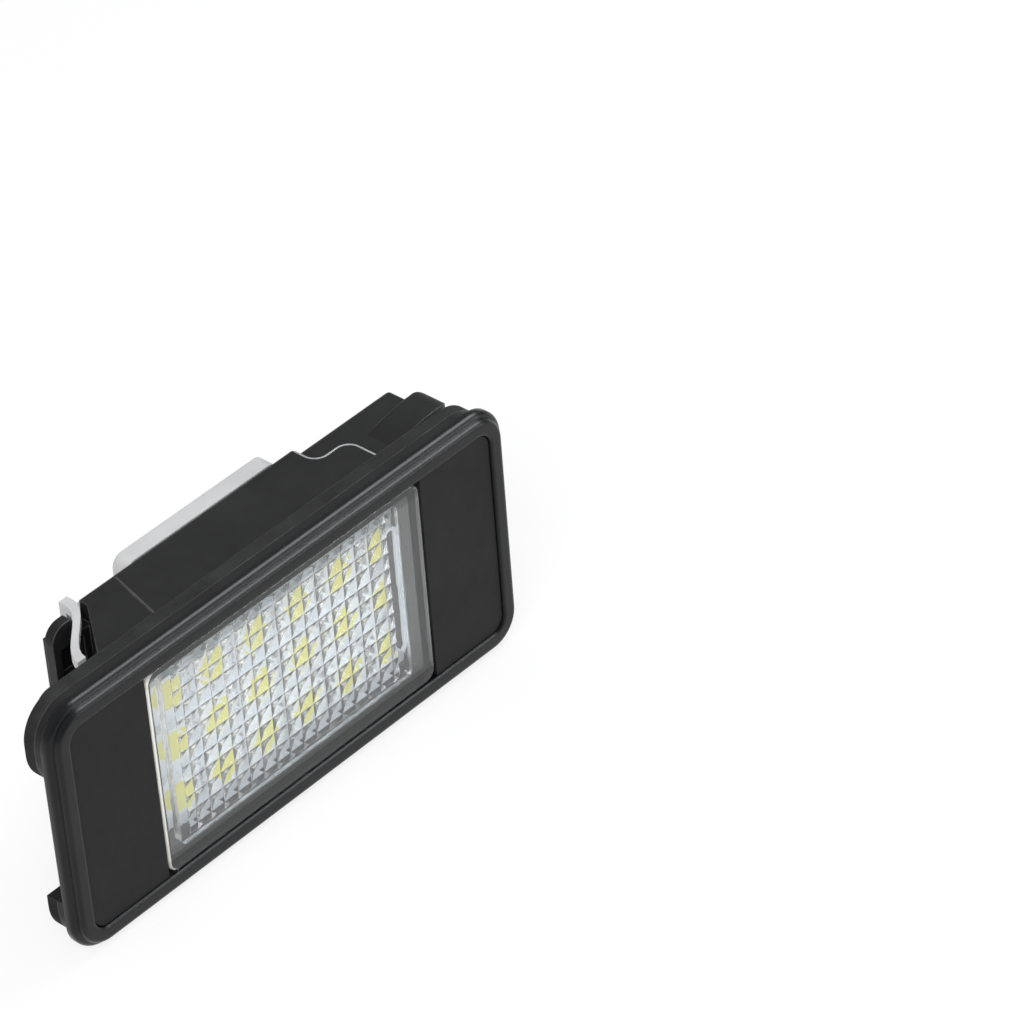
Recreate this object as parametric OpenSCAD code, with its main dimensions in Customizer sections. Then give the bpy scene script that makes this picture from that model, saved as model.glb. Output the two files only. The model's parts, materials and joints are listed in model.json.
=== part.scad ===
// Number plate lamp: a framed prismatic lens over eighteen light emitting diodes,
// in a black housing that plugs into the car body from behind its frame.
// Every piece is drawn lying on its back, lens up, and then turned so that the lens
// faces -Y, the length runs along X and the height along Z. Sizes are in millimetres.
// The origin is the middle of the seat plane, where the gasket meets the car body.

/* [Frame] */
// Length of the lamp over its frame
frame_w = 74.5; // [70:0.1:86]
// Height of the lamp over its frame
frame_h = 34.7; // [32:0.1:40]
// Corner radius of the frame
frame_r = 4.8; // [4:0.1:7]
// Width of the frame's rim
rim_w = 2.75; // [2.5:0.05:3.4]
// Depth of the frame from its crest to the flange behind it
frame_t = 2.05; // [1.9:0.05:3]
// How far the crest stands in front of the lens and the end panels
crest_h = 0.35; // [0.2:0.05:0.6]
// Width of the rim's inner bead
bead_w = 2; // [1.7:0.05:2.2]
// Radius of the inner bead's outer edge
bead_r = 0.55; // [0.3:0.05:0.7]
// Radius of the inner bead's lip beside the lens
lip_r = 0.3; // [0.15:0.05:0.5]
// Radius of the lower outer bead
outer_r = 0.7; // [0.5:0.05:0.75]
// Distance of the outer bead's centre from the flange
outer_z = 0.6; // [0.4:0.05:0.75]

/* [Lens] */
// Length of the clear lens
lens_w = 45; // [42:0.2:49]
// Gap round the lens and the end panels
panel_gap = 0.12; // [0.05:0.01:0.25]
// Corner radius of the lens
lens_r = 1.6; // [0.8:0.1:2]
// Radius of the lens plate's front edge
lens_edge_r = 0.3; // [0.1:0.05:0.5]
// How far the housing's ledge reaches under each end of the lens
ledge_x = 1.3; // [1:0.1:2]
// How far the ledge reaches under each long side of the lens
ledge_z = 1.9; // [1.2:0.1:2.4]
// Gap between each end of the prism block and the ledge
block_gap_x = 1.8; // [0.3:0.1:2.5]
// Gap between each long side of the prism block and the ledge
block_gap_z = 0.2; // [0.1:0.05:1]
// Width of the smooth bar at each end of the prism block
bar_w = 1.8; // [0.6:0.1:2.4]
// Width of the smooth bar along each long side of the prism block
bar_h = 0.4; // [0.3:0.1:1.4]
// Thickness of the prism block behind the lens plate
prism_t = 1.1; // [1:0.05:1.3]
// Distance from one prism to the next
prism_pitch = 2.2; // [1.4:0.1:3.2]
// Depth of the prisms
prism_d = 0.6; // [0.3:0.05:0.9]

/* [Housing] */
// Thickness of the flange behind the frame
flange_t = 1.6; // [1.4:0.1:2.4]
// How far the flange's edge stands inside the frame's edge
flange_in = 0.55; // [0.2:0.05:0.8]
// Corner radius of the flange and the gasket
flange_r = 5; // [3.6:0.1:6]
// Width of the frame beside the neck at each end
seat_end = 5.05; // [4.6:0.05:6]
// Width of the frame beside the neck along each long side
seat_side = 3.45; // [3.2:0.05:4]
// Corner radius of the neck
neck_r = 2.6; // [1.6:0.1:4]
// How far the neck reaches behind the seat plane
neck_back = 3; // [2.9:0.1:4]
// Wall thickness of the housing
wall = 1.4; // [1.2:0.1:1.8]
// How far the rear box reaches behind the seat plane
box_back = 12; // [11.6:0.1:16]
// How far the rear box reaches past the neck at the hook end
box_over = 2.8; // [1.8:0.1:3]
// Place of the rear box's left end wall at the back
box_left = 16.5; // [15.6:0.1:17.5]
// How much further left the rear box's end wall stands at the neck
box_slant = 5.5; // [3:0.1:7]
// How far the rear box's top wall stands inside the neck's side
box_in = 1.3; // [0.9:0.1:2]
// Radius of the rear box's back edges
box_edge_r = 0.9; // [0.4:0.1:1.2]
// How far the raised pad on the top wall stands inside the neck's side
pad_in = 0.1; // [0.1:0.05:0.5]
// Place of the pad's right edge at the back
pad_right = 18.6; // [15:0.1:22]
// Length of the step in the pad's right edge
pad_step = 5.2; // [3.8:0.1:7]
// Distance from the back edge to the step
pad_step_back = 4.4; // [3.8:0.1:5.4]
// Radius of the rounds in the pad's right edge
pad_round = 1.8; // [0.6:0.1:1.8]
// Width of the moulding line across the pad
line_w = 0.3; // [0.2:0.05:0.6]
// Height of the moulding line
line_h = 0.08; // [0.04:0.01:0.1]
// Place of the moulding line at the back
line_x = -11; // [-13:0.1:-9]
// Slant of the moulding line from the back to the neck
line_slant = 2; // [0:0.1:3]
// Width of the way through the floor between the two boards
pass_w = 21.8; // [16:0.2:24]
// Height of the way through the floor
pass_h = 12.8; // [10:0.2:14]
// Corner radius of the pockets behind the end panels
pocket_r = 1; // [0.4:0.1:1.5]

/* [Fixing ends] */
// Length of the notch in the flange for the release tool
notch_h = 15.2; // [10:0.2:16]
// Depth of the notch
notch_d = 3.6; // [2:0.1:3.8]
// How far the notch's middle lies below the middle line
notch_drop = 2.4; // [0:0.1:3]
// Radius of the upper lobe beside the notch
lobe_r = 5; // [2:0.1:6]
// Radius of the corners inside the notch
notch_r = 1; // [0.5:0.1:1.6]
// How far the hook at the right end stands out from the rear box
hook_out = 2.2; // [2.2:0.1:2.8]
// Distance from the seat plane to the hook, which takes the body sheet
hook_gap = 3.3; // [3.1:0.1:4]
// Thickness of the hook
hook_t = 4.4; // [4.2:0.1:5]
// Length of the crowned root that rises from the rear box's top to the hook
hook_root = 8; // [6:0.1:9]
// How far the hook's top stands inside the neck's side
hook_in = 0.05; // [0.05:0.05:0.5]
// Radius of the hook's nose
hook_r = 2; // [1:0.1:2.1]
// How far the snap loop stands out to the left of the rear box
loop_out = 6.1; // [5:0.1:8]
// Thickness of the snap loop
loop_t = 1.3; // [1:0.1:1.8]
// Distance from the box's back to the back of the snap loop
loop_in = 0.9; // [0.8:0.1:1.5]
// Radius of the snap loop's outer corners
loop_r = 2.2; // [1:0.1:3.5]
// Width of each catch window in the snap loop
window_w = 3.6; // [2.6:0.1:3.8]
// Height of each catch window
window_h = 4.2; // [3:0.1:5]
// Width of the loop's edge beside the windows
window_edge = 1.1; // [0.8:0.1:1.6]
// Distance of each window's middle from the middle line
window_z = 8.4; // [6:0.1:9]

/* [Gasket] */
// Thickness of the gasket
gasket_t = 1.6; // [1:0.1:2.4]
// Gap between the gasket and the neck
gasket_gap = 0.3; // [0.1:0.05:0.5]

/* [Rear cover] */
// Thickness of the cover's plate, set in the back of the rear box
cover_t = 1.4; // [1.2:0.1:2]
// Gap round the cover's plate
cover_gap = 0.15; // [0.05:0.05:0.3]
// Width of the ledge that the plate rests on
cover_ledge = 0.7; // [0.5:0.05:0.9]
// Length of the raised part of the cover
hump_w = 25; // [22:0.2:27]
// Place of the raised part's middle along the length
hump_x = 4; // [1:0.1:5]
// How far the raised part stands behind the rear box
hump_t = 2.3; // [1.4:0.1:4]
// How far the raised part's top edge stands inside the pad's top
hump_in = 0.3; // [0.1:0.1:1]
// How far its lower edge stands inside the box's lower wall
hump_low_in = 0.6; // [0.2:0.1:2]
// Corner radius of the raised part
hump_r = 1.6; // [0.8:0.1:3]
// Width of the two spring arms
arm_w = 1.3; // [1.2:0.1:2.4]
// Thickness of the spring arms
arm_t = 1.1; // [0.8:0.1:1.1]
// How far the spring arms reach forward from the back
arm_l = 8.4; // [6:0.1:8.8]
// Gap between a spring arm and the housing
arm_gap = 0.3; // [0.2:0.05:0.5]
// Height of the bridge that joins each arm to the raised part
bridge_h = 2.5; // [2:0.1:3.5]

/* [Plug socket] */
// Outer width of the plug socket
socket_w = 13; // [12:0.2:16]
// Outer height of the plug socket
socket_h = 8.6; // [8:0.2:11]
// Length of the plug socket behind the raised part
socket_l = 5.2; // [5:0.1:9]
// Wall of the plug socket
socket_wall = 1.1; // [0.9:0.1:1.4]
// Corner radius of the plug socket
socket_r = 1.5; // [1.2:0.1:2.2]
// Width of the guide rib on the socket's upper side
rib_w = 4.3; // [2:0.1:6]
// Distance between the two terminal blades
blade_pitch = 5; // [4:0.1:6]
// Width of a terminal blade
blade_w = 2.8; // [2:0.1:3]
// Thickness of a terminal blade
blade_t = 0.8; // [0.5:0.1:1]
// How far a blade's tip lies inside the socket's mouth
blade_in = 1; // [0.5:0.1:2]
// Clearance round a blade where it passes through the cover
blade_gap = 0.1; // [0.05:0.01:0.2]

/* [Boards] */
// Thickness of the diode board
board_t = 1.6; // [1.2:0.1:1.6]
// Gap round the diode board
board_gap = 0.2; // [0.1:0.05:0.3]
// Length of the driver board
driver_w = 32; // [30:0.2:33]
// Distance from the driver board's edge to the wall beside it
driver_gap = 1.2; // [0.4:0.1:2]
// Thickness of the driver board
driver_t = 1.2; // [1:0.1:1.6]
// Distance from the diode board to the driver board
board_space = 3.4; // [3.2:0.1:3.8]
// Corner radius of both boards
board_r = 0.5; // [0.3:0.1:1]
// Diameter of the posts that carry the driver board
post_d = 3; // [2.4:0.1:3.2]
// Distance from a post to the driver board's edge
post_edge = 0.6; // [0.3:0.1:1]
// Diameter of the pins that join the two boards
pin_d = 0.7; // [0.5:0.05:0.9]
// Distance between the two pins
pin_pitch = 2.54; // [2:0.01:4]
// How far the pins stand out of the driver board's back
pin_out = 0.6; // [0.3:0.1:1]
// Clearance round a pin in its hole
pin_gap = 0.1; // [0.05:0.01:0.2]

/* [Driver parts] */
// Distance of the parts at both ends from the driver board's middle
part_x = 7; // [6.4:0.1:7.2]
// Distance of those parts from the middle line, as a share of the board's height
part_share = 0.25; // [0.22:0.01:0.28]
// Length of the rectifier
rectifier_l = 4.7; // [4:0.1:6]
// Width of the rectifier
rectifier_w = 3.8; // [3:0.1:4.2]
// Height of the rectifier
rectifier_h = 2.4; // [1.6:0.1:2.6]
// Length of the regulator
regulator_l = 4.9; // [4:0.1:6]
// Width of the regulator
regulator_w = 3.9; // [3:0.1:4.2]
// Height of the regulator
regulator_h = 1.6; // [1.2:0.1:2]
// Reach of the legs beside a package
leg_l = 0.9; // [0.5:0.1:1]
// Thickness of the legs
leg_t = 0.22; // [0.15:0.01:0.3]
// Diameter of the capacitor
can_d = 5; // [4:0.1:5.2]
// Height of the capacitor
can_h = 3.6; // [2.5:0.1:3.8]
// Depth of the crimp round the capacitor
can_crimp = 0.2; // [0.1:0.05:0.3]
// Thickness of the capacitor's square base
can_base = 0.5; // [0.3:0.1:0.8]
// Length of a resistor
resistor_l = 6.3; // [5:0.1:6.4]
// Width of a resistor
resistor_w = 3.1; // [2:0.1:3.2]
// Thickness of a resistor
resistor_t = 0.6; // [0.4:0.05:0.8]
// Distance of the resistors from the board's long edges
resistor_edge = 1.4; // [0.6:0.1:2]

/* [Diodes] */
// Diodes in a row
led_cols = 6; // [1:1:6]
// Rows of diodes
led_rows = 3; // [1:1:3]
// Distance between diodes as a share of the board's length
led_share_x = 0.1643; // [0.14:0.0001:0.166]
// Distance between rows of diodes as a share of the board's height
led_share_z = 0.296; // [0.24:0.001:0.33]
// Size of a diode's square body
led_size = 5; // [3.6:0.1:5.2]
// Thickness of a diode
led_t = 0.9; // [0.7:0.05:1]
// Size of the cut corner that marks a diode's polarity
led_cut = 0.6; // [0.3:0.1:0.8]
// Diameter of the yellow window in a diode
glow_d = 4.1; // [2.4:0.1:4.2]
// Depth of the yellow window's well
glow_t = 0.35; // [0.2:0.05:0.5]
// How far the yellow fill stays below the diode's face
glow_in = 0.05; // [0.02:0.01:0.15]

/* [Hidden] */
$fn = 48;
EPS = 0.01;
flange_z = gasket_t + flange_t;
panel_z = flange_z + frame_t - crest_h;
panel_t = panel_z - flange_z;
inner_w = frame_w - 2 * rim_w;
inner_h = frame_h - 2 * rim_w;
panel_r = frame_r - rim_w - panel_gap;
end_w = (inner_w - lens_w) / 2;
flange_w = frame_w - 2 * flange_in;
flange_h = frame_h - 2 * flange_in;
neck_w = frame_w - 2 * seat_end;
neck_h = frame_h - 2 * seat_side;
chamber_w = lens_w - 2 * ledge_x;
chamber_h = inner_h - 2 * ledge_z;
block_w = chamber_w - 2 * block_gap_x;
block_h = chamber_h - 2 * block_gap_z;
prism_cols = floor((block_w - 2 * bar_w) / prism_pitch + EPS);
prism_rows = floor((block_h - 2 * bar_h) / prism_pitch + EPS);
board_w = chamber_w - 2 * board_gap;
board_h = chamber_h - 2 * board_gap;
floor_z = -board_t;
box_right = neck_w / 2 + box_over;
box_top = neck_h / 2 - box_in;
pad_top = neck_h / 2 - pad_in;
driver_h = 2 * (box_top - wall - driver_gap);
driver_z = floor_z - board_space;
pin_x = pass_w / 2 - pin_d;
part_y = driver_h * part_share;
resistor_y = driver_h / 2 - resistor_edge - resistor_w / 2;
post_x = driver_w / 2 - post_d / 2 - post_edge;
post_y = driver_h / 2 - post_d / 2 - post_edge;
cover_in_l = box_left - wall + cover_ledge;
cover_in_r = box_right - wall + cover_ledge;
cover_h = 2 * (box_top - wall + cover_ledge);
led_pitch_x = board_w * led_share_x;
led_pitch_z = board_h * led_share_z;

// Turns a piece from its back, lens up, to the lens facing -Y
module stand() {
    rotate([90, 0, 0]) children();
}

// A rectangle with round corners, about the middle
module rounded(w, h, r) {
    square([w - 2 * r, h], center = true);
    square([w, h - 2 * r], center = true);
    for (sx = [-1, 1], sy = [-1, 1])
        translate([sx * (w / 2 - r), sy * (h / 2 - r)]) circle(r);
}

// A rectangle between two corners
module span(x0, y0, x1, y1) {
    translate([x0, y0]) square([x1 - x0, y1 - y0]);
}

// A block between two corners
module block(x0, y0, z0, x1, y1, z1) {
    translate([x0, y0, z0]) cube([x1 - x0, y1 - y0, z1 - z0]);
}

// Runs a section round a rectangle with round corners. The section's x is measured
// outward from the corner's centre and its y along the depth
module run_round(w, h, r) {
    for (s = [0, 1], t = [0, 1]) mirror([s, 0, 0]) mirror([0, t, 0]) {
        translate([w / 2 - r, h / 2 - r, 0]) rotate_extrude(angle = 90) children();
        translate([w / 2 - r, 0, 0]) rotate([90, 0, 0])
            linear_extrude(h / 2 - r) children();
        translate([0, h / 2 - r, 0]) rotate([90, 0, 90])
            linear_extrude(w / 2 - r) children();
    }
}

// The rim's section: a lip beside the lens, a raised inner bead and a lower outer bead
module rim_section() {
    in_x = frame_r - rim_w;
    bead_x = in_x + bead_w - bead_r;
    intersection() {
        union() {
            span(in_x, 0, frame_r, outer_z);
            span(in_x, 0, frame_r - outer_r, outer_z + outer_r);
            translate([frame_r - outer_r, outer_z]) circle(outer_r);
            span(in_x, 0, bead_x + bead_r, frame_t - bead_r);
            span(in_x, 0, bead_x, frame_t - lip_r);
            span(in_x + lip_r, 0, bead_x, frame_t);
            translate([bead_x, frame_t - bead_r]) circle(bead_r);
            translate([in_x + lip_r, frame_t - lip_r]) circle(lip_r);
        }
        span(in_x, 0, frame_r, frame_t);
    }
}

module bezel() {
    color([0.07, 0.07, 0.075])
        translate([0, 0, flange_z]) run_round(frame_w, frame_h, frame_r) rim_section();
}

// One V groove along x in the prism block, with its point towards the lens plate
module v_groove(l, z0) {
    translate([-l / 2, 0, z0]) rotate([90, 0, 90]) linear_extrude(l)
        polygon([[-prism_pitch / 2, -EPS], [0, prism_d], [prism_pitch / 2, -EPS]]);
}

// What rounds the front edge of a plate with round corners
module edge_cut(w, h, r, edge, z) {
    run_round(w, h, r) difference() {
        span(r - edge, z - edge, r + edge, z + edge);
        translate([r - edge, z - edge]) circle(edge);
    }
}

// The lens: a clear plate with a block of small square prisms on its inside. The grooves
// end at a smooth bar round the block
module lens() {
    w = lens_w - 2 * panel_gap;
    h = inner_h - 2 * panel_gap;
    block_z = flange_z - prism_t;
    field_w = prism_cols * prism_pitch;
    field_h = prism_rows * prism_pitch;
    color([0.9, 0.93, 0.95, 0.6]) difference() {
        union() {
            translate([0, 0, flange_z]) linear_extrude(panel_t) rounded(w, h, lens_r);
            translate([0, 0, block_z]) linear_extrude(prism_t + EPS)
                rounded(block_w, block_h, lens_r / 2);
        }
        edge_cut(w, h, lens_r, lens_edge_r, panel_z);
        intersection() {
            union() {
                for (i = [0:prism_rows - 1])
                    translate([0, (i + 0.5) * prism_pitch - field_h / 2, 0])
                        v_groove(field_w, block_z);
                for (i = [0:prism_cols - 1])
                    translate([(i + 0.5) * prism_pitch - field_w / 2, 0, 0])
                        rotate([0, 0, 90]) v_groove(field_h, block_z);
            }
            block(-field_w / 2, -field_h / 2, block_z - 1, field_w / 2, field_h / 2,
                flange_z);
        }
    }
}

// A plain panel that fills the frame beside the lens; side is -1 or 1
module end_panel(side) {
    w = end_w - 2 * panel_gap;
    h = inner_h - 2 * panel_gap;
    color([0.12, 0.12, 0.125])
        translate([side * (lens_w + end_w) / 2, 0, flange_z]) linear_extrude(panel_t) {
            rounded(w, h, panel_r);
            translate([-side * w / 4, 0]) square([w / 2, h], center = true);
        }
}
module end_panel_left() end_panel(-1);
module end_panel_right() end_panel(1);

// The outline of the flange and the gasket: the left end has a notch for the release
// tool, and the lobe above it ends in a large round
module flange_outline() {
    x0 = -flange_w / 2;
    top = notch_h / 2 - notch_drop;
    low = -notch_h / 2 - notch_drop;
    difference() {
        rounded(flange_w, flange_h, flange_r);
        span(x0 - 1, low, x0 + notch_d - notch_r, top);
        span(x0 - 1, low + notch_r, x0 + notch_d, top - notch_r);
        for (y = [low + notch_r, top - notch_r])
            translate([x0 + notch_d - notch_r, y]) circle(notch_r);
        difference() {
            span(x0 - 1, top - EPS, x0 + lobe_r, top + lobe_r);
            translate([x0 + lobe_r, top + lobe_r]) circle(lobe_r);
        }
    }
}

module gasket() {
    color([0.1, 0.1, 0.1]) difference() {
        linear_extrude(gasket_t) flange_outline();
        translate([0, 0, -1]) linear_extrude(gasket_t + 2)
            rounded(neck_w + 2 * gasket_gap, neck_h + 2 * gasket_gap, neck_r + gasket_gap);
    }
}

// The rear box seen along its height: its left end slants outward to the neck, and its
// right end leaves room for the body sheet
module box_side() {
    b = -box_back;
    er = box_edge_r;
    polygon([[-box_left - box_slant, -neck_back + 1], [-box_left - box_slant, -neck_back],
        [-box_left, b + 2 * er], [-box_left, b + er], [-box_left + er, b + er],
        [-box_left + er, b], [box_right - er, b], [box_right - er, b + er],
        [box_right, b + er], [box_right, -hook_gap], [neck_w / 2, -hook_gap],
        [neck_w / 2, -neck_back + 1]]);
    translate([-box_left + er, b + er]) circle(er);
    translate([box_right - er, b + er]) circle(er);
}

// The rear box seen from its end, with its top wall at the height given
module box_end(top) {
    b = -box_back;
    er = box_edge_r;
    span(-box_top, b + er, top, -neck_back + 1);
    span(-box_top + er, b, top - er, b + er);
    translate([-box_top + er, b + er]) circle(er);
    translate([top - er, b + er]) circle(er);
}

module rear_box(top) {
    intersection() {
        translate([0, top + 1, 0]) rotate([90, 0, 0])
            linear_extrude(top + box_top + 2) box_side();
        translate([-frame_w, 0, 0]) rotate([90, 0, 90])
            linear_extrude(2 * frame_w) box_end(top);
    }
}

// The raised pad's outline from above: its right edge steps outward in two rounds
module pad_outline() {
    b = -box_back;
    step_z = b + pad_step_back;
    right = pad_right + pad_step;
    r = pad_round;
    difference() {
        union() {
            span(-neck_w / 2, b, pad_right, 0);
            span(pad_right - EPS, step_z, right - r, 0);
            span(right - r - EPS, step_z + r, right, 0);
            translate([right - r, step_z + r]) circle(r);
            span(pad_right - EPS, step_z - r, pad_right + r, step_z + EPS);
        }
        translate([pad_right + r, step_z - r]) circle(r);
    }
}

// The moulding line that crosses the pad on a slight slant
module moulding_line() {
    run = box_back - neck_back - box_edge_r;
    slant = atan(line_slant / run);
    translate([line_x, pad_top - line_h, -box_back + box_edge_r]) rotate([0, -slant, 0])
        block(-line_w / 2, 0, 0, line_w / 2, 2 * line_h, run / cos(slant));
}

// The hook at the right end: a nose behind the body sheet, on a root that rises from the
// rear box in a low crown on both sides
module hook() {
    tip = box_right + hook_out;
    root = box_right - hook_root;
    back = -hook_gap - hook_t;
    h = neck_h - 2 * hook_in;
    run = hook_root + hook_out - hook_r;
    rise = neck_h / 2 - box_top;
    crown_r = (run * run + rise * rise) / (2 * rise);
    intersection() {
        translate([0, h / 2, 0]) rotate([90, 0, 0]) linear_extrude(h) {
            span(root, back, tip - hook_r, -hook_gap);
            span(root, back + hook_r, tip, -hook_gap - hook_r);
            for (z = [back + hook_r, -hook_gap - hook_r])
                translate([tip - hook_r, z]) circle(hook_r);
        }
        translate([root, 0, -box_back]) linear_extrude(box_back) intersection() {
            rounded(2 * (hook_root + hook_out), h, hook_r);
            translate([run, h / 2 - crown_r]) circle(crown_r);
            translate([run, crown_r - h / 2]) circle(crown_r);
        }
    }
}

// The snap loop at the left end: a plate with two catch windows and a wall behind them,
// open at the corners where the cover's spring arms pass
module snap_loop() {
    left = -box_left - loop_out;
    back = loop_in - box_back;
    h = pad_top - loop_r;
    slot_x = box_left + 2 * arm_gap + arm_w + arm_reach(loop_in + loop_t);
    difference() {
        union() {
            translate([0, 0, back]) linear_extrude(loop_t) {
                span(left + loop_r, -pad_top, wall - box_left, pad_top);
                span(left, -h, -box_left, h);
                for (s = [-1, 1]) translate([left + loop_r, s * h]) circle(loop_r);
            }
            block(left + window_edge / 2, -h, -box_back, wall - box_left, h, back + EPS);
        }
        for (s = [-1, 1]) {
            translate([left + window_edge + window_w / 2, s * window_z, back])
                linear_extrude(loop_t + 1) square([window_w, window_h], center = true);
            translate([0, s * (pad_top - arm_t / 2), -box_back - 1])
                linear_extrude(loop_in + loop_t + 2)
                translate([-(box_left + slot_x) / 2, 0])
                square([slot_x - box_left, 3 * arm_t + 2 * arm_gap], center = true);
        }
    }
}

// Pockets behind the end panels, which keep the moulding's walls even
module end_pockets() {
    x0 = lens_w / 2 + wall / 2;
    x1 = neck_w / 2 - wall;
    h = neck_h - 2 * wall;
    for (s = [-1, 1]) translate([s * (x0 + x1) / 2, 0, wall - neck_back])
        linear_extrude(neck_back + flange_z) difference() {
            rounded(x1 - x0, h, min(pocket_r, (x1 - x0) / 3));
            square([wall, h], center = true);
        }
}

module housing() {
    color([0.13, 0.13, 0.135]) difference() {
        union() {
            translate([0, 0, gasket_t]) linear_extrude(flange_t) flange_outline();
            translate([0, 0, -neck_back]) linear_extrude(neck_back + gasket_t + EPS)
                rounded(neck_w, neck_h, neck_r);
            rear_box(box_top);
            intersection() {
                rear_box(pad_top);
                translate([0, pad_top + 1, 0]) rotate([90, 0, 0])
                    linear_extrude(pad_top + box_top) pad_outline();
            }
            moulding_line();
            hook();
            snap_loop();
        }
        // The chamber in front of the diode board
        translate([0, 0, floor_z]) linear_extrude(flange_z - floor_z + 1)
            rounded(chamber_w, chamber_h, board_r);
        end_pockets();
        // The way through the floor to the rear box
        translate([hump_x, 0, -neck_back - 1]) linear_extrude(neck_back + 2)
            square([pass_w, pass_h], center = true);
        // The inside of the rear box, with the ledge for its cover
        block(-box_left + wall, -box_top + wall, -box_back - 1,
            box_right - wall, box_top - wall, -neck_back);
        block(-cover_in_l - cover_gap, -cover_h / 2 - cover_gap, -box_back - 1,
            cover_in_r + cover_gap, cover_h / 2 + cover_gap, cover_t - box_back);
    }
    // Posts that carry the driver board
    color([0.13, 0.13, 0.135]) for (sx = [-1, 1], sy = [-1, 1])
        translate([hump_x + sx * post_x, sy * post_y, driver_z])
            cylinder(d = post_d, h = -neck_back - driver_z + EPS);
}

// How far a spring arm has moved outward at a distance forward of the back: it follows
// the rear box's slanting left end in a soft S
function arm_reach(d) = let (t = min(d / arm_l, 1),
    slope = box_slant / (box_back - neck_back - 2 * box_edge_r))
    slope * arm_l * t * t * (3 - 2 * t);

// A spring arm seen from above
module arm_outline() {
    steps = 10;
    root = -box_left - arm_gap;
    at = function(i) root - arm_reach(arm_l * i / steps);
    near = [for (i = [0:steps]) [at(i), -box_back + arm_l * i / steps]];
    far = [for (i = [steps:-1:0]) [at(i) - arm_w, -box_back + arm_l * i / steps]];
    polygon(concat(near, far));
    span(root - arm_w, -box_back - arm_t, root, -box_back + EPS);
}

// One spring arm with the bridge that carries it behind the rear box
module spring_arm() {
    tip = -box_left - arm_gap - arm_w;
    low = pad_top - arm_t - bridge_h;
    translate([0, pad_top, 0]) rotate([90, 0, 0]) linear_extrude(arm_t) arm_outline();
    block(tip, low, -box_back - arm_t, -box_left - arm_gap, pad_top, -box_back);
    block(tip, low, -box_back - arm_t, hump_x - hump_w / 2 + 1, box_top - arm_t / 2,
        -box_back);
}

// The light grey cover: a plate set in the back of the rear box, a raised part, the two
// spring arms and the plug socket
module rear_cover() {
    hump_top = pad_top - hump_in;
    hump_low = box_top - hump_low_in;
    socket_z = -box_back - hump_t - socket_l;
    color([0.8, 0.81, 0.82]) difference() {
        union() {
            block(-cover_in_l, -cover_h / 2, -box_back, cover_in_r, cover_h / 2,
                cover_t - box_back);
            translate([hump_x, (hump_top - hump_low) / 2, -box_back - hump_t])
                linear_extrude(hump_t) rounded(hump_w, hump_top + hump_low, hump_r);
            for (s = [0, 1]) mirror([0, s, 0]) spring_arm();
            translate([hump_x, 0, socket_z]) linear_extrude(socket_l + EPS) {
                rounded(socket_w, socket_h, socket_r);
                translate([0, socket_h / 2]) square([rib_w, 2 * socket_wall], center = true);
            }
        }
        translate([hump_x, 0, socket_z - 1]) linear_extrude(socket_l + 1)
            rounded(socket_w - 2 * socket_wall, socket_h - 2 * socket_wall,
                max(socket_r - socket_wall, 0.3));
        for (s = [-1, 1]) translate([hump_x + s * blade_pitch / 2, 0, -box_back - hump_t])
            cube([blade_t + 2 * blade_gap, blade_w + 2 * blade_gap, 3 * (hump_t + cover_t)],
                center = true);
    }
}

// One of the two terminal blades, with a pointed end; side is -1 or 1
module terminal(side) {
    top = driver_z - driver_t;
    tip = blade_in - box_back - hump_t - socket_l;
    h = blade_w / 2;
    color([0.78, 0.6, 0.25])
        translate([hump_x + side * blade_pitch / 2 - blade_t / 2, 0, 0])
        rotate([90, 0, 90]) linear_extrude(blade_t)
        polygon([[-h, top], [-h, tip + h / 2], [-h / 2, tip], [h / 2, tip],
            [h, tip + h / 2], [h, top]]);
}
module terminal_left() terminal(-1);
module terminal_right() terminal(1);

// The pale board that carries the diodes
module led_board() {
    color([0.82, 0.87, 0.9]) translate([0, 0, -board_t])
        linear_extrude(board_t) rounded(board_w, board_h, board_r);
}

// The middle of a diode in its grid
function led_x(c) = (c - (led_cols + 1) / 2) * led_pitch_x;
function led_y(r) = ((led_rows + 1) / 2 - r) * led_pitch_z;

// One diode: a square white body with a round well for its window, and one corner cut
// off to mark its polarity
module led(r, c) {
    h = led_size / 2;
    if (r <= led_rows && c <= led_cols)
        color([0.93, 0.94, 0.92]) translate([led_x(c), led_y(r), 0]) difference() {
            linear_extrude(led_t) polygon([[-h, -h], [h, -h], [h, h - led_cut],
                [h - led_cut, h], [-h, h]]);
            translate([0, 0, led_t - glow_t]) cylinder(d = glow_d, h = glow_t + 1);
        }
}

// The yellow fill of all the diodes, one in each well
module led_phosphor() {
    color([0.95, 0.9, 0.35]) for (r = [1:led_rows], c = [1:led_cols])
        translate([led_x(c), led_y(r), led_t - glow_t])
            cylinder(d = glow_d, h = glow_t - glow_in);
}

module driver_board() {
    color([0.1, 0.35, 0.2]) translate([hump_x, 0, driver_z - driver_t]) difference() {
        linear_extrude(driver_t) rounded(driver_w, driver_h, board_r);
        for (s = [-1, 1]) translate([-pin_x, s * pin_pitch / 2, -1])
            cylinder(d = pin_d + 2 * pin_gap, h = driver_t + 2);
    }
}

// The back face of the driver board, where its parts sit; they are drawn hanging down
module on_driver(x, y) {
    translate([hump_x + x, y, driver_z - driver_t]) mirror([0, 0, 1]) children();
}

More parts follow.
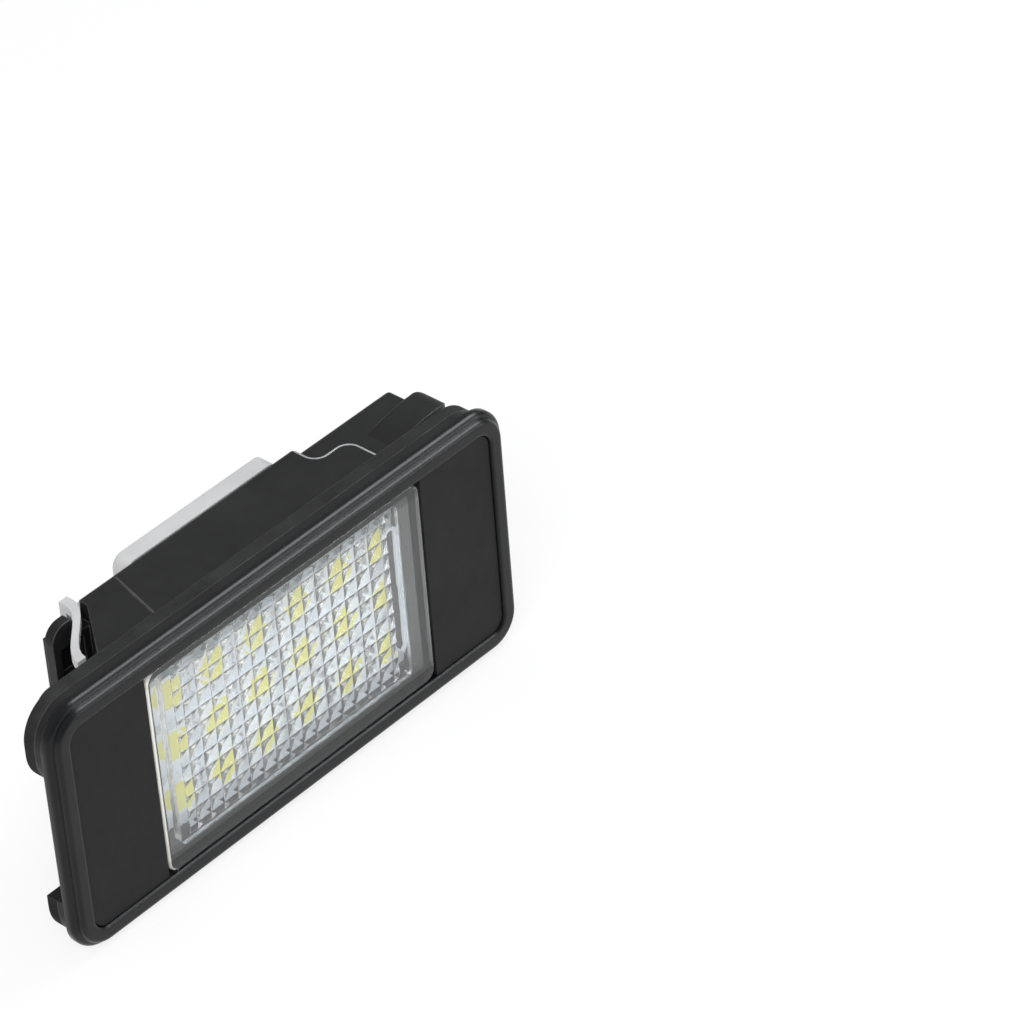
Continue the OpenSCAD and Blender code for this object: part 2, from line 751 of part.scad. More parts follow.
// A flat package with bent legs along two sides
module package(l, w, h, legs, leg_w) {
    color([0.1, 0.1, 0.1]) {
        translate([0, 0, leg_t / 2]) linear_extrude(h - leg_t / 2) rounded(l, w, leg_t);
        for (s = [0, 1], i = [1:legs]) mirror([0, s, 0])
            translate([(i - (legs + 1) / 2) * l / legs - leg_w / 2, w / 2 - EPS, 0]) {
                cube([leg_w, leg_l, leg_t]);
                cube([leg_w, leg_t, h / 2]);
            }
    }
}
module rectifier() {
    on_driver(-part_x, part_y) package(rectifier_l, rectifier_w, rectifier_h, 2, 3 * leg_t);
}
module regulator() {
    on_driver(part_x, part_y) package(regulator_l, regulator_w, regulator_h, 4, 2 * leg_t);
}

// A small capacitor can, crimped near its square base
module capacitor() {
    crimp_z = can_base + can_h / 3;
    color([0.8, 0.8, 0.82]) on_driver(part_x, -part_y) {
        linear_extrude(can_base) rounded(can_d, can_d, board_r);
        rotate_extrude() difference() {
            square([can_d / 2, can_h]);
            translate([can_d / 2, crimp_z]) circle(can_crimp);
        }
    }
}

module resistor(side) {
    color([0.12, 0.12, 0.12]) on_driver(0, side * resistor_y)
        translate([-resistor_l / 2, -resistor_w / 2, 0])
        cube([resistor_l, resistor_w, resistor_t]);
}
module resistor_upper() resistor(1);
module resistor_lower() resistor(-1);

// A pin that joins the back of the diode board to the driver board; side is -1 or 1
module link_pin(side) {
    l = board_space + driver_t + pin_out;
    color([0.8, 0.65, 0.3]) translate([hump_x - pin_x, side * pin_pitch / 2, floor_z - l])
        cylinder(d = pin_d, h = l);
}
module link_pin_upper() link_pin(1);
module link_pin_lower() link_pin(-1);

stand() bezel();
stand() lens();
stand() end_panel_left();
stand() end_panel_right();
stand() housing();
stand() gasket();
stand() rear_cover();
stand() led_board();
stand() led(1, 1);  // led_r1_c1
stand() led(1, 2);  // led_r1_c2
stand() led(1, 3);  // led_r1_c3
stand() led(1, 4);  // led_r1_c4
stand() led(1, 5);  // led_r1_c5
stand() led(1, 6);  // led_r1_c6
stand() led(2, 1);  // led_r2_c1
stand() led(2, 2);  // led_r2_c2
stand() led(2, 3);  // led_r2_c3
stand() led(2, 4);  // led_r2_c4
stand() led(2, 5);  // led_r2_c5
stand() led(2, 6);  // led_r2_c6
stand() led(3, 1);  // led_r3_c1
stand() led(3, 2);  // led_r3_c2
stand() led(3, 3);  // led_r3_c3
stand() led(3, 4);  // led_r3_c4
stand() led(3, 5);  // led_r3_c5
stand() led(3, 6);  // led_r3_c6
stand() led_phosphor();
stand() driver_board();
stand() rectifier();
stand() regulator();
stand() capacitor();
stand() resistor_upper();
stand() resistor_lower();
stand() link_pin_upper();
stand() link_pin_lower();
stand() terminal_left();
stand() terminal_right();
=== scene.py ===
"""Number plate lamp: finishes, trim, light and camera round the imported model.

Places and sizes are written in millimetres, in the model's own frame, and turned into
metres by mm() or MM: X along the length, Z up, and the lens faces -Y. Places of lamps
are in metres. The camera stands where the photo's camera stood.
"""
import json
import math

import bmesh
import bpy
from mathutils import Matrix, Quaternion, Vector


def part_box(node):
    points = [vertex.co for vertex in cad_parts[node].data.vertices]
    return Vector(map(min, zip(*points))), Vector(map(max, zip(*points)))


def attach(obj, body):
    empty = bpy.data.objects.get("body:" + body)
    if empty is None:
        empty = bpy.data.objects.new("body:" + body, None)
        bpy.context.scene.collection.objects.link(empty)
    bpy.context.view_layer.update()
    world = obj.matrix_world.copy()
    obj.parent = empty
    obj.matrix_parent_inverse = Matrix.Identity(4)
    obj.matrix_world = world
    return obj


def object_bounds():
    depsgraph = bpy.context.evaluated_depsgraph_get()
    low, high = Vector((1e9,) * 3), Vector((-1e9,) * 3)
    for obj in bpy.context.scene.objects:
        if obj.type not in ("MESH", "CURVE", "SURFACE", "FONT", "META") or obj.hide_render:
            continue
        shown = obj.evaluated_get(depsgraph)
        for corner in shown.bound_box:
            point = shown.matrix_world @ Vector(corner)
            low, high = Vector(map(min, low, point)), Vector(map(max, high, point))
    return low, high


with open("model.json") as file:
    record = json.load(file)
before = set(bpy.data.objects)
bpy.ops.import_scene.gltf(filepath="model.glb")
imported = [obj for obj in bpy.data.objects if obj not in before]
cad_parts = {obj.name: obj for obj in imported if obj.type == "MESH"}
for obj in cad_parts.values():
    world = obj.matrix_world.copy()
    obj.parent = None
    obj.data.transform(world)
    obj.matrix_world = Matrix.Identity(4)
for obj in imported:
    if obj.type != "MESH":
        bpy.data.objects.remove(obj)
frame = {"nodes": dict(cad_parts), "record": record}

MM = 0.001
cad_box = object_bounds()
scene = bpy.context.scene


def mm(*values):
    """A point or size in millimetres, as metres."""
    return Vector([v * MM for v in values])


# Camera
CAMERA_AZIMUTH = -45.75
CAMERA_ELEVATION = 37.26
CAMERA_ROLL = -4.53
CAMERA_DISTANCE = 632.98
CAMERA_AIM = (27.42, -14.63, 11.35)
CAMERA_LENS = 194.19
SENSOR_WIDTH = 36


def make_camera():
    data = bpy.data.cameras.new("photo_camera")
    data.sensor_width = SENSOR_WIDTH
    data.lens = CAMERA_LENS
    data.clip_start, data.clip_end = 0.01, 20
    camera = bpy.data.objects.new("photo_camera", data)
    scene.collection.objects.link(camera)
    turn, rise = math.radians(CAMERA_AZIMUTH), math.radians(CAMERA_ELEVATION)
    back = Vector((math.sin(turn) * math.cos(rise), -math.cos(turn) * math.cos(rise),
                   math.sin(rise)))
    camera.location = mm(*CAMERA_AIM) + back * CAMERA_DISTANCE * MM
    camera.rotation_mode = "QUATERNION"
    roll = Quaternion((0, 0, 1), math.radians(CAMERA_ROLL))
    camera.rotation_quaternion = (-back).to_track_quat("-Z", "Y") @ roll
    scene.camera = camera


# Building blocks of the materials
# Places of the colour sockets on the mix node, which has sockets of each kind
MIX_FIRST, MIX_SECOND, MIX_RESULT = 6, 7, 2
# How far a normal may turn before an edge counts as one, as cosines: fully and not at all
EDGE_TURN = (0.72, 0.97)
BEVEL_SAMPLES = 4


class Nodes:
    """Adds nodes to a tree and joins them. A value is a number or a node's output."""

    def __init__(self, tree):
        self.tree = tree

    def add(self, kind):
        return self.tree.nodes.new("ShaderNode" + kind)

    def feed(self, socket, value):
        """Sets a socket, or links an output to it."""
        if isinstance(value, bpy.types.NodeSocket):
            self.tree.links.new(value, socket)
        else:
            socket.default_value = value

    def place(self):
        """The object's own coordinates."""
        return self.add("TexCoord").outputs["Object"]

    def part(self, vector, axis):
        """One coordinate of a vector."""
        split = self.add("SeparateXYZ")
        self.feed(split.inputs["Vector"], vector)
        return split.outputs[axis]

    def math(self, operation, first, second=0):
        node = self.add("Math")
        node.operation = operation
        self.feed(node.inputs[0], first)
        self.feed(node.inputs[1], second)
        return node.outputs[0]

    def vector(self, operation, first, second=(0, 0, 0)):
        """A sum on vectors, which gives a number for a length or a dot product."""
        node = self.add("VectorMath")
        node.operation = operation
        self.feed(node.inputs[0], first)
        self.feed(node.inputs[1], second)
        return node.outputs["Value" if operation in ("LENGTH", "DOT_PRODUCT") else "Vector"]

    def noise(self, scale, detail, rough=0.55, at=None):
        """Noise in patterns per millimetre, over the object's own coordinates or at a place."""
        texture = self.add("TexNoise")
        texture.inputs["Scale"].default_value = scale / MM
        texture.inputs["Detail"].default_value = detail
        texture.inputs["Roughness"].default_value = rough
        self.feed(texture.inputs["Vector"], at or self.place())
        return texture.outputs["Fac"]

    def spread(self, value, low, high, start=0, end=1):
        """Maps the range from start to end to the range from low to high, and stops there."""
        remap = self.add("MapRange")
        remap.inputs["From Min"].default_value = start
        remap.inputs["From Max"].default_value = end
        remap.inputs["To Min"].default_value = low
        remap.inputs["To Max"].default_value = high
        self.feed(remap.inputs["Value"], value)
        return remap.outputs["Result"]

    def mottle(self, scale, detail, low, high):
        """Noise that wanders from low to high."""
        return self.spread(self.noise(scale, detail), low, high, 0.3, 0.7)

    def colour(self, share, first, second):
        """Mixes two colours."""
        mix = self.add("Mix")
        mix.data_type = "RGBA"
        for place, colour in ((MIX_FIRST, first), (MIX_SECOND, second)):
            self.feed(mix.inputs[place], (*colour, 1) if isinstance(colour, tuple) else colour)
        self.feed(mix.inputs["Factor"], share)
        return mix.outputs[MIX_RESULT]

    def facing(self, axis):
        """How squarely a face looks along an axis, from 0 to 1."""
        flat = self.add("NewGeometry").outputs["True Normal"]
        return self.math("ABSOLUTE", self.part(flat, axis))

    def soft_edges(self, radius):
        """The normal with its edges rounded, and how far it is turned by them, from 0 to 1."""
        soft = self.add("Bevel")
        soft.samples = BEVEL_SAMPLES
        soft.inputs["Radius"].default_value = radius * MM
        normal = soft.outputs["Normal"]
        flat = self.add("NewGeometry").outputs["True Normal"]
        return normal, self.spread(self.vector("DOT_PRODUCT", normal, flat), 1, 0, *EDGE_TURN)

    def bump(self, height, depth, normal, strength):
        bump = self.add("Bump")
        bump.inputs["Strength"].default_value = strength
        bump.inputs["Distance"].default_value = depth * MM
        self.feed(bump.inputs["Height"], height)
        self.feed(bump.inputs["Normal"], normal)
        return bump.outputs["Normal"]

    def rays(self, *kinds):
        """1 for rays of the kinds named."""
        path = self.add("LightPath")
        found = path.outputs[f"Is {kinds[0]} Ray"]
        for kind in kinds[1:]:
            found = self.math("MAXIMUM", found, path.outputs[f"Is {kind} Ray"])
        return found

    def show(self, share, first, second):
        """Mixes two shaders and makes them the surface."""
        mix = self.add("MixShader")
        self.feed(mix.inputs["Fac"], share)
        self.feed(mix.inputs[1], first.outputs[0])
        self.feed(mix.inputs[2], second.outputs[0])
        self.feed(self.tree.nodes["Material Output"].inputs["Surface"], mix.outputs["Shader"])


def new_material(name):
    """A new material, its nodes and its Principled shader."""
    material = bpy.data.materials.new(name)
    material.use_nodes = True
    return material, Nodes(material.node_tree), material.node_tree.nodes["Principled BSDF"]


# Plastics and metals
TONE_SCALE = 0.12
SHEEN_SCALE = 0.5
EDGE_HIGHLIGHT_WEAR_SCALE = 0.35
METAL_DARKER = 0.82
METAL_ROUGHER = 0.15


def plastic(name, dark, light, rough, grain, depth, edge, edge_highlight_and_wear=None, spec=0.5):
    """Moulded plastic: mottled tone, uneven sheen, a fine grain and soft edges, painted paler
    as highlight and wear.
    """
    material, nodes, shader = new_material(name)
    tone = nodes.colour(nodes.mottle(TONE_SCALE, 4, 0, 1), dark, light)
    normal, turned = nodes.soft_edges(edge)
    if edge_highlight_and_wear:
        # Painted highlight and wear: edges are mixed in patches towards a paler colour
        edge_highlight_and_wear_mask = nodes.math("MULTIPLY", turned, nodes.mottle(EDGE_HIGHLIGHT_WEAR_SCALE, 4, 0.25, 1))
        tone = nodes.colour(edge_highlight_and_wear_mask, tone, edge_highlight_and_wear)
    nodes.feed(shader.inputs["Base Color"], tone)
    nodes.feed(shader.inputs["Roughness"], nodes.mottle(SHEEN_SCALE, 5, *rough))
    shader.inputs["Specular IOR Level"].default_value = spec
    nodes.feed(shader.inputs["Normal"], nodes.bump(nodes.noise(grain, 6), depth, normal, 0.5))
    return material


def metal(name, colour, rough, grain=0.8):
    """Metal with a mottled tone and an uneven sheen."""
    material, nodes, shader = new_material(name)
    darker = tuple(c * METAL_DARKER for c in colour)
    nodes.feed(shader.inputs["Base Color"],
               nodes.colour(nodes.mottle(grain, 5, 0, 1), darker, colour))
    shader.inputs["Metallic"].default_value = 1.0
    nodes.feed(shader.inputs["Roughness"],
               nodes.mottle(2 * grain, 4, rough, rough + METAL_ROUGHER))
    return material


# The clear lens
LENS_IOR = 1.47
LENS_SHINE = 0.32
LENS_ROUGH = (0.09, 0.17)
LENS_SMOOTH = 0.2
LENS_CLEAR = 0.95
LENS_BEVEL = 0.12
LENS_RIPPLE = (0.9, 0.9, 0.15)
LENS_RIPPLE_DEPTH = 0.05
LENS_TINT = (0.97, 0.98, 0.98)
LENS_LIGHT_TINT = (0.93, 0.95, 0.97)
# Low rows of prisms, painted darker as shade, and how far up they reach
LENS_LOW_SHADE = (0.76, 0.78, 0.78)
LENS_LOW_ROWS = 7
# Margins above and below the prisms, painted dark as shade
LENS_MARGIN = 2.0
LENS_TOP_SHADE = (0.55, 0.57, 0.57)
LENS_FOOT_SHADE = (0.2, 0.2, 0.2)
# Ground edge, painted pale as a highlight for the light caught in the lens's edges and
# strongest on the left, where the light falls: its corner radius and width, and how strong it
# is at each place
LENS_CORNER = 1.6
LENS_EDGE = 0.32
LENS_EDGE_BLUR = 0.06
LENS_EDGE_LEFT = 0.7
LENS_EDGE_RIGHT = 0.1
LENS_EDGE_REST = 0.05
LENS_EDGE_REACH = 0.6
LENS_WALLS = (0.06, 0.12)
LENS_GROUND_GLOW_TINT = (0.88, 0.85, 0.78)
LENS_GROUND_GLOW_CLEAR = 0.1
LENS_GROUND_ROUGH = 0.35


def lens_half():
    """Half of the lens's length and height, which its own coordinates are measured from."""
    low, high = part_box("lens")
    return Vector(((high.x - low.x) / 2, 0, (high.z - low.z) / 2))


def lens_edge_glow(nodes):
    """How much painted edge highlight a place gets, drawn as a pale ground finish: strong on
    the lens's left edge, where the light falls, and weak elsewhere.
    """
    half = lens_half()
    place = nodes.place()
    side = nodes.vector("ABSOLUTE", nodes.vector("MULTIPLY", place, (1, 0, 1)))
    past = nodes.vector("SUBTRACT", side, half - mm(LENS_CORNER, 0, LENS_CORNER))
    reach = nodes.vector("LENGTH", nodes.vector("MAXIMUM", past))
    start = LENS_CORNER - LENS_EDGE
    rim = nodes.spread(reach, 0, 1, start * MM, (start + LENS_EDGE_BLUR) * MM)
    along = nodes.part(place, "X")
    left = nodes.spread(along, LENS_EDGE_LEFT, LENS_EDGE_REST,
                        LENS_EDGE_REACH * MM - half.x, LENS_CORNER * MM - half.x)
    right = nodes.spread(along, 0, LENS_EDGE_RIGHT,
                         half.x - LENS_CORNER * MM, half.x - LENS_EDGE_REACH * MM)
    outer = nodes.math("MULTIPLY", rim, nodes.math("MAXIMUM", left, right))
    walls = nodes.math("MULTIPLY", nodes.spread(nodes.facing("X"), 0, 1, 0.8, 0.98),
                       nodes.spread(along, *LENS_WALLS, -MM, MM))
    return nodes.math("MAXIMUM", outer, walls)


def lens_tint_and_shade(nodes):
    """The lens's tone: clear, with painted shade that darkens the low rows and the margins."""
    start = lens_half().z - LENS_MARGIN * MM
    up = nodes.part(nodes.place(), "Z")
    low = nodes.spread(up, 1, 0, -start, LENS_LOW_ROWS * MM - start)
    tone = nodes.colour(low, LENS_TINT, LENS_LOW_SHADE)
    for way, colour in ((1, LENS_TOP_SHADE), (-1, LENS_FOOT_SHADE)):
        height = nodes.math("MULTIPLY", up, way)
        tone = nodes.colour(nodes.spread(height, 0, 1, start - 0.1 * MM, start + 0.1 * MM),
                            tone, colour)
    return tone


def clear_plastic(name):
    """Clear polycarbonate that lets the light of the room in to the diodes."""
    material, nodes, shader = new_material(name)
    shader.inputs["IOR"].default_value = LENS_IOR
    shader.inputs["Specular IOR Level"].default_value = LENS_SHINE
    # Painted highlight on the edges: there the lens is pale, less clear and rougher
    ground_glow = lens_edge_glow(nodes)
    nodes.feed(shader.inputs["Base Color"],
               nodes.colour(ground_glow, lens_tint_and_shade(nodes), LENS_GROUND_GLOW_TINT))
    nodes.feed(shader.inputs["Transmission Weight"],
               nodes.spread(ground_glow, LENS_CLEAR, LENS_GROUND_GLOW_CLEAR))
    # The flat front and back are smoother than the prisms
    smooth = nodes.spread(nodes.facing("Y"), 1, LENS_SMOOTH, 0.9, 0.97)
    haze = nodes.math("MULTIPLY", nodes.mottle(0.4, 3, *LENS_ROUGH), smooth)
    nodes.feed(shader.inputs["Roughness"],
               nodes.math("MAXIMUM", haze, nodes.math("MULTIPLY", ground_glow, LENS_GROUND_ROUGH)))
    stretch = nodes.add("Mapping")
    stretch.inputs["Scale"].default_value = LENS_RIPPLE
    nodes.feed(stretch.inputs["Vector"], nodes.place())
    ripple = nodes.noise(1, 2, 0.5, stretch.outputs["Vector"])
    normal, _ = nodes.soft_edges(LENS_BEVEL)
    nodes.feed(shader.inputs["Normal"], nodes.bump(ripple, LENS_RIPPLE_DEPTH, normal, 1))
    clear = nodes.add("BsdfTransparent")
    clear.inputs["Color"].default_value = (*LENS_LIGHT_TINT, 1)
    nodes.show(nodes.rays("Shadow", "Diffuse"), shader, clear)
    return material


# Finishes, by the record's material slots
MATERIALS = {
    "frame_black": plastic(
        "gloss_black", (0.003, 0.0033, 0.004), (0.006, 0.0064, 0.0075), (0.2, 0.27),
        grain=1.2, depth=0.003, edge=0.45, spec=0.25),
    "clear_lens": clear_plastic("clear_polycarbonate"),
    "panel_black": plastic(
        "panel_satin", (0.009, 0.009, 0.009), (0.013, 0.013, 0.013), (0.38, 0.48),
        grain=1.8, depth=0.004, edge=0.12, edge_highlight_and_wear=(0.03, 0.03, 0.03), spec=0.12),
    "housing_black": plastic(
        "housing_satin", (0.009, 0.009, 0.0095), (0.015, 0.015, 0.0155), (0.38, 0.5),
        grain=1.5, depth=0.006, edge=0.3, edge_highlight_and_wear=(0.16, 0.16, 0.165), spec=0.18),
    "gasket_rubber": plastic(
        "foam_rubber", (0.012, 0.012, 0.012), (0.034, 0.034, 0.034), (0.7, 0.9),
        grain=2.2, depth=0.15, edge=0.2, edge_highlight_and_wear=(0.12, 0.12, 0.12), spec=0.12),
    "cover_grey": plastic(
        "cover_grey", (0.475, 0.475, 0.48), (0.535, 0.535, 0.54), (0.4, 0.5),
        grain=1.5, depth=0.005, edge=0.15, spec=0.3),
    "diode_board": plastic(
        "board_white", (0.76, 0.81, 0.86), (0.84, 0.87, 0.90), (0.35, 0.5),
        grain=1.0, depth=0.004, edge=0.05),
    "diode_body": plastic(
        "diode_white", (0.78, 0.80, 0.78), (0.85, 0.87, 0.85), (0.3, 0.4),
        grain=2.0, depth=0.003, edge=0.05),
    "diode_yellow": plastic(
        "diode_yellow", (0.80, 0.74, 0.16), (0.86, 0.82, 0.28), (0.15, 0.25),
        grain=2.0, depth=0.003, edge=0.05),
    "driver_green": plastic(
        "board_green", (0.02, 0.10, 0.05), (0.03, 0.15, 0.08), (0.3, 0.4),
        grain=1.0, depth=0.01, edge=0.05),
    "package_black": plastic(
        "package_black", (0.012, 0.012, 0.012), (0.02, 0.02, 0.02), (0.4, 0.5),
        grain=3.0, depth=0.01, edge=0.05),
    "can_metal": metal("can_metal", (0.75, 0.75, 0.77), 0.25),
    "pin_brass": metal("pin_brass", (0.75, 0.62, 0.35), 0.25),
    "terminal_brass": metal("terminal_brass", (0.80, 0.60, 0.28), 0.22),
}
# Finishes of the trim
SOLDER = metal("solder_tin", (0.62, 0.63, 0.65), 0.32, 1.5)
# Pale grey for the pad's edge bead: a painted highlight where the edge catches light
PAD_EDGE_PAINTED_HIGHLIGHT = plastic(
    "pad_edge_painted_highlight", (0.30, 0.30, 0.31), (0.42, 0.42, 0.43), (0.3, 0.4),
    grain=2.5, depth=0.003, edge=0.05, spec=0.4)
RIB_WHITE = plastic(
    "rib_ground", (0.72, 0.76, 0.80), (0.88, 0.90, 0.90), (0.4, 0.5),
    grain=2.5, depth=0.01, edge=0.05)
# A little paler than the housing, for the moulding line: a faint painted highlight
MOULDING_LINE_PAINTED_HIGHLIGHT = plastic(
    "moulding_line_painted_highlight", (0.045, 0.045, 0.043), (0.07, 0.07, 0.066), (0.3, 0.4),
    grain=2.5, depth=0.003, edge=0.05, spec=0.3)


def dress_nodes():
    """Gives every CAD node the finish of its slot in the record."""
    slots = {part["node"]: part["material_slot"] for part in frame["record"]["subparts"]}
    for name, node in frame["nodes"].items():
        node.data.materials.clear()
        node.data.materials.append(MATERIALS[slots[name]])


# Building blocks of the trim
ARC_STEPS = 12


def arc(centre, radius, start, end):
    """Points of an arc, angles in degrees from the first axis."""
    turns = [math.radians(start + (end - start) * i / ARC_STEPS) for i in range(ARC_STEPS + 1)]
    return [(centre[0] + radius * math.cos(a), centre[1] + radius * math.sin(a)) for a in turns]


def skin(form, rings, around=False):
    """Joins each ring of points to the next, and closes the ends or joins them too."""
    faces = []
    following = rings[1:] + (rings[:1] if around else [])
    for first, second in zip(rings, following):
        for k in range(len(first)):
            n = (k + 1) % len(first)
            faces.append(form.faces.new((first[k], first[n], second[n], second[k])))
    if not around:
        faces += [form.faces.new(rings[0]), form.faces.new(list(reversed(rings[-1])))]
    return faces


def make_piece(name, form, *materials):
    """Turns a form into a piece that rides on the lamp."""
    bmesh.ops.recalc_face_normals(form, faces=form.faces)
    mesh = bpy.data.meshes.new(name)
    form.to_mesh(mesh)
    form.free()
    for material in materials:
        mesh.materials.append(material)
    piece = bpy.data.objects.new(name, mesh)
    scene.collection.objects.link(piece)
    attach(piece, "root")


# Beads on the housing's top wall, at the places where the model has its edges, coloured pale as
# painted highlights
NECK_BACK = 3.0
PAD_TOP = 13.8
PAD_BACK = 12.0
PAD_EASE = 0.9
PAD_RIGHT = 18.6
PAD_STEP = 5.2
PAD_STEP_BACK = 4.4
PAD_ROUND = 1.8
PAD_BEAD_W = 0.26
PAD_BEAD_H = 0.05
LINE_X = -11.0
LINE_BACK = 11.1
LINE_SLANT = 2.0
LINE_TOP = 13.88
LINE_W = 0.2
LINE_H = 0.02
BEAD_STEPS = 8


def pad_edge():
    """The pad's right edge, from its back corner to the neck."""
    step = PAD_BACK - PAD_STEP_BACK
    right = PAD_RIGHT + PAD_STEP
    path = [(PAD_RIGHT, PAD_BACK - PAD_EASE)]
    path += arc((PAD_RIGHT + PAD_ROUND, step + PAD_ROUND), PAD_ROUND, 180, 270)
    path += arc((right - PAD_ROUND, step - PAD_ROUND), PAD_ROUND, 90, 0)
    return path + [(right, NECK_BACK)]


def bead(name, path, top, width, height, material):
    """A low half-round bead that runs along a path on a face looking up."""
    form = bmesh.new()
    rings = []
    for i, (x, y) in enumerate(path):
        before, after = path[max(i - 1, 0)], path[min(i + 1, len(path) - 1)]
        along = Vector((after[0] - before[0], after[1] - before[1])).normalized()
        turns = [math.pi * k / BEAD_STEPS for k in range(BEAD_STEPS + 1)]
        outline = [(math.cos(turn) * width / 2, math.sin(turn) * height) for turn in turns]
        outline += [(side * width / 2, -height) for side in (-1, 1)]
        rings.append([form.verts.new(mm(x + along.y * out, y - along.x * out, top + up))
                      for out, up in outline])
    skin(form, rings)
    make_piece(name, form, material)


# Solder joints beside each diode: three a side, as its package has them
JOINT_ROWS = (-1.6, 0.0, 1.6)
JOINT_W = 0.95
JOINT_TAPER = 0.2
JOINT_OUT = 0.7
JOINT_UP = 0.5
JOINT_STEPS = 5


def solder_joint(form, x, y, z, side):
    """A concave fillet from the board up the side of a diode."""
    rings = []
    for half in (-JOINT_W / 2, JOINT_W / 2):
        ring = [form.verts.new(mm(x, y, z + half))]
        for k in range(JOINT_STEPS + 1):
            turn = math.pi / 2 * k / JOINT_STEPS
            share = 1 - JOINT_TAPER + JOINT_TAPER * math.cos(turn)
            ring.append(form.verts.new(mm(x + side * JOINT_OUT * (1 - math.sin(turn)),
                                          y - JOINT_UP * (1 - math.cos(turn)),
                                          z + half * share)))
        rings.append(ring)
    skin(form, rings)


def make_solder():
    form = bmesh.new()
    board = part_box("led_board")[0].y / MM
    for name in sorted(frame["nodes"]):
        if not name.startswith("led_r"):
            continue
        low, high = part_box(name)
        middle = (low.z + high.z) / 2 / MM
        for side, wall in ((-1, low.x / MM), (1, high.x / MM)):
            for row in JOINT_ROWS:
                solder_joint(form, wall, board, middle + row, side)
    make_piece("diode_solder", form, SOLDER)


# Ground rib on the back of the lens, beside the right end of the prisms: for its outer
# and its inner outline the left and right sides and how far the foot reaches down
RIB_OUTER = (17.45, 19.6, 0.9)
RIB_INNER = (17.75, 19.05, 0.45)
RIB_DEPTH = 0.55
RIB_TOP = 8.4
RIB_LOW = -8.3
RIB_FOOT_START = 0.5
RIB_FOOT_TIP = 0.7
STRIP_T = 0.19
STRIP_GAP = 0.01


def rib_outline(left, right, foot):
    """A long loop in x and z with a round top and a slanting foot."""
    round_top = arc(((left + right) / 2, RIB_TOP), (right - left) / 2, 180, 0)
    tip = (left + (right - left) * RIB_FOOT_TIP, RIB_LOW - foot)
    return [(left, RIB_LOW + RIB_FOOT_START)] + round_top + [(right, RIB_LOW), tip]


def make_rib():
    """The rib, and the dark strip that it frames."""
    form = bmesh.new()

    def ring(outline, y):
        return [form.verts.new(mm(x, y, z)) for x, z in outline]

    outer, inner = rib_outline(*RIB_OUTER), rib_outline(*RIB_INNER)
    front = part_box("lens")[1].y / MM
    back = front + RIB_DEPTH
    skin(form, [ring(outer, front), ring(outer, back), ring(inner, back), ring(inner, front)],
         around=True)
    strip_back = back - STRIP_GAP
    for face in skin(form, [ring(inner, strip_back - STRIP_T), ring(inner, strip_back)]):
        face.material_index = 1
    make_piece("lens_end_rib", form, RIB_WHITE, MATERIALS["panel_black"])


def make_trim():
    make_solder()
    make_rib()
    bead("pad_edge_bead", pad_edge(), PAD_TOP, PAD_BEAD_W, PAD_BEAD_H, PAD_EDGE_PAINTED_HIGHLIGHT)
    bead("moulding_line_crest", [(LINE_X, LINE_BACK), (LINE_X - LINE_SLANT, NECK_BACK)],
         LINE_TOP, LINE_W, LINE_H, MOULDING_LINE_PAINTED_HIGHLIGHT)


# Stage
WORLD_FILL = 0.58
WORLD_GLOSS = 0.5
# A dark card in the sky, for the dark reflection in the frame's top left corner
DARK_CARD_AT = (-0.415, -0.83, 0.371)
DARK_CARD_ANGLE = 14
DARK_CARD_BLUR = 8
DARK_CARD_TONE = 0.05
FLOOR_HALF = 4.0
FLOOR_CELLS = 8
FLOOR_TONE = 0.9
FLOOR_GLOW = 0.8
# Rays that show the backdrop itself
SEEN = ("Camera", "Glossy", "Transmission")


def area_lamp(name, place, size, power, colour=(1, 1, 1), gloss=True, fill=True):
    """A soft lamp that looks at the part, with or without gloss and fill light."""
    data = bpy.data.lights.new(name, "AREA")
    data.shape = "RECTANGLE"
    data.size, data.size_y = size
    data.energy = power
    data.color = colour
    lamp = bpy.data.objects.new(name, data)
    lamp.location = place
    lamp.rotation_mode = "QUATERNION"
    lamp.rotation_quaternion = (-Vector(place)).to_track_quat("-Z", "Y")
    lamp.visible_glossy, lamp.visible_diffuse = gloss, fill
    lamp.visible_camera = False
    scene.collection.objects.link(lamp)


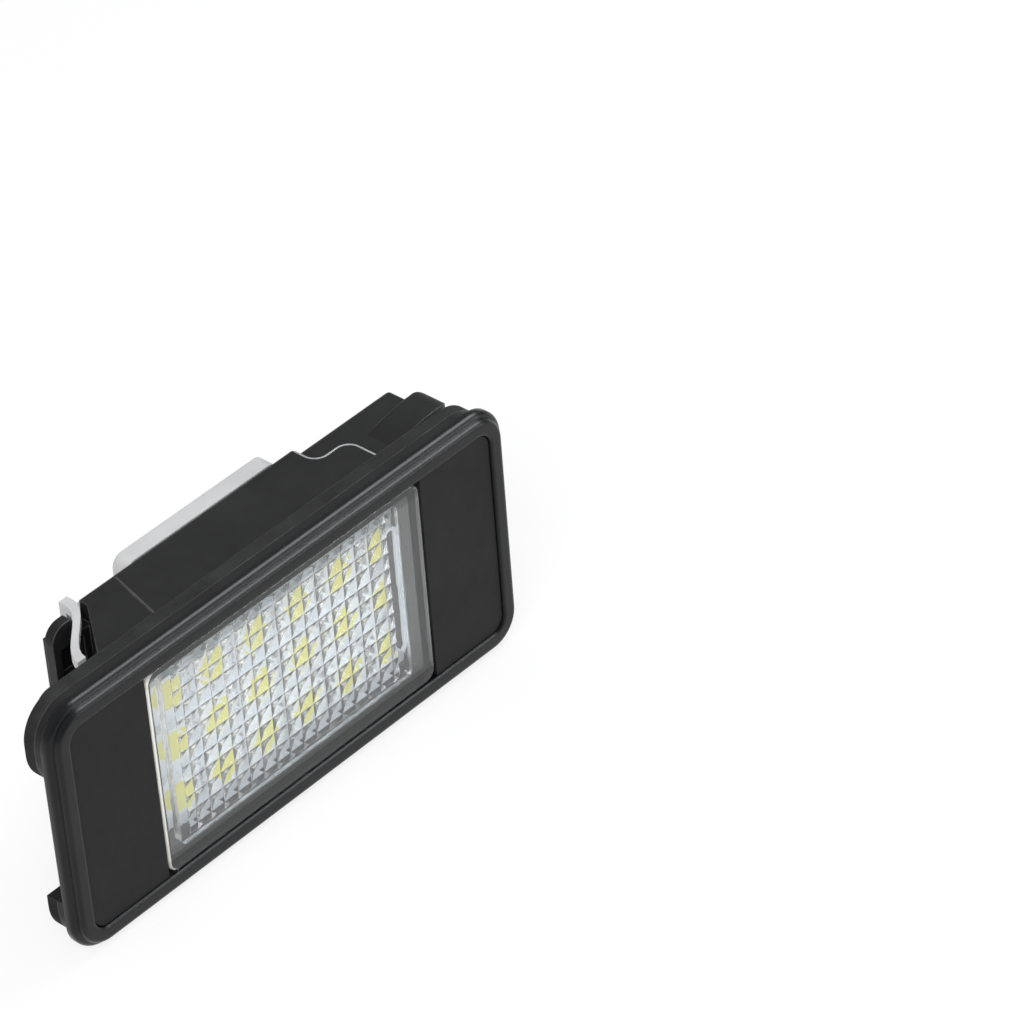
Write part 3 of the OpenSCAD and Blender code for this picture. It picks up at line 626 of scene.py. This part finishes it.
def make_world():
    """A white room that is dimmer as fill light and in reflections."""
    world = bpy.data.worlds.new("studio")
    world.use_nodes = True
    scene.world = world
    nodes = Nodes(world.node_tree)
    bright = nodes.math("MULTIPLY", nodes.spread(nodes.rays(*SEEN), WORLD_FILL, 1),
                        nodes.spread(nodes.rays("Glossy"), 1, WORLD_GLOSS))
    toward = nodes.vector("DOT_PRODUCT", nodes.add("TexCoord").outputs["Generated"],
                          Vector(DARK_CARD_AT).normalized())
    card = nodes.spread(toward, 1, DARK_CARD_TONE,
                        math.cos(math.radians(DARK_CARD_ANGLE + DARK_CARD_BLUR)),
                        math.cos(math.radians(DARK_CARD_ANGLE)))
    background = world.node_tree.nodes["Background"]
    background.inputs["Color"].default_value = (1, 1, 1, 1)
    nodes.feed(background.inputs["Strength"], nodes.math("MULTIPLY", bright, card))


def make_floor():
    """A pale floor under the lamp, which keeps its soft shadow."""
    grid = bmesh.new()
    bmesh.ops.create_grid(grid, x_segments=FLOOR_CELLS, y_segments=FLOOR_CELLS, size=FLOOR_HALF)
    bmesh.ops.translate(grid, verts=grid.verts, vec=(0, 0, cad_box[0].z))
    mesh = bpy.data.meshes.new("floor")
    grid.to_mesh(mesh)
    grid.free()
    floor = bpy.data.objects.new("floor", mesh)
    scene.collection.objects.link(floor)
    material, nodes, shader = new_material("floor_white")
    shader.inputs["Base Color"].default_value = (FLOOR_TONE, FLOOR_TONE, FLOOR_TONE, 1)
    shader.inputs["Roughness"].default_value = 0.9
    shader.inputs["Specular IOR Level"].default_value = 0.1
    nodes.show(nodes.spread(nodes.rays(*SEEN), 0, FLOOR_GLOW), shader, nodes.add("Emission"))
    mesh.materials.append(material)


def light_studio():
    scene.view_settings.view_transform = "Standard"
    make_world()
    make_floor()
    area_lamp("top_softbox", (0.28, -0.03, 0.42), (0.2, 0.3), 0.8, (0.95, 0.98, 1.0))
    area_lamp("side_softbox", (-0.42, -0.32, 0.5), (0.35, 0.35), 3.7, gloss=False)
    area_lamp("bead_strip", (0.3, -0.08, 0.42), (0.34, 0.34), 2.4, (0.92, 0.97, 1.0),
              fill=False)
    area_lamp("front_strip", (0.28, -0.40, 0.08), (0.3, 0.12), 0.7, fill=False)


make_camera()
dress_nodes()
make_trim()
light_studio()
